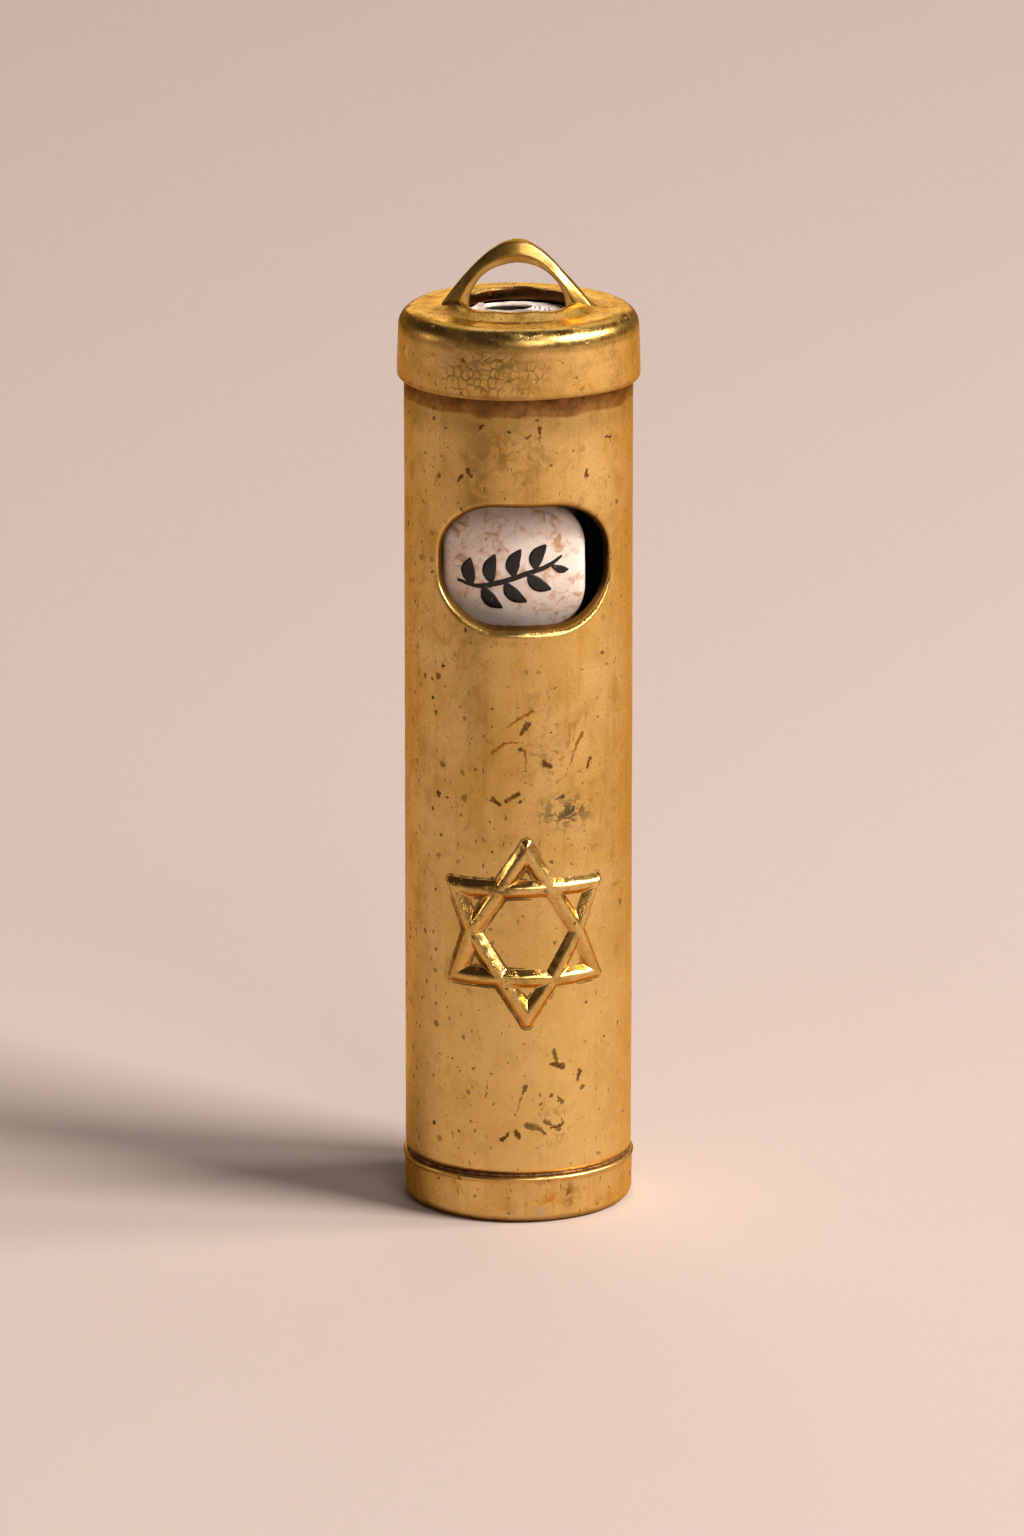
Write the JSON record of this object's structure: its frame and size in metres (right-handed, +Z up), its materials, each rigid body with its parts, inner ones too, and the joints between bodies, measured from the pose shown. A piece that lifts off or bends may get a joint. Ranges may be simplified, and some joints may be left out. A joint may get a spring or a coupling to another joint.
{
  "type": "mezuzah case",
  "caption": "Small brass tube case for a rolled parchment scroll, with a window, a star emblem and a push-on cap with a hanging bail.",
  "frame": {"origin": "middle of the flat underside of the foot cup, on the tube's axis", "axes": "+Z up along the tube's axis, -Y out through the window and the star, +X to the right as seen from the front"},
  "size_m": [0.017, 0.017, 0.0692],
  "materials": {
    "brass_tube": "worn and spotted, half polished",
    "brass_cast": "cast, polished on the ridges",
    "brass_dark": "oxidised",
    "solder": "brass solder, dull and darkened",
    "liner_black": "matt black, lightly scuffed",
    "parchment": "aged parchment",
    "plaque_white": "satin white with brown foxing and a black ink ornament"
  },
  "bodies": {
    "case": {"body_tube": "brass_tube", "star_emblem": "brass_cast", "star_solder": "solder", "bottom_cap": "brass_tube", "bottom_sleeve": "brass_dark", "bottom_solder": "solder", "liner_sleeve": "liner_black"},
    "cap": {"top_cap": "brass_tube", "bail": "brass_cast", "bail_solder": "solder"},
    "scroll": {"scroll_roll": "parchment", "window_plaque": "plaque_white"}
  },
  "joints": [
    {"name": "cap_lift", "type": "slide", "parent": "case", "child": "cap", "axis": [0, 0, 1], "range_m": [0, 0.095]},
    {"name": "scroll_lift", "type": "slide", "parent": "case", "child": "scroll", "axis": [0, 0, 1], "range_m": [0, 0.0665]}
  ],
  "couplings": [
    {"joint": "scroll_lift", "follows": "cap_lift", "ratio": 0.7}
  ]
}
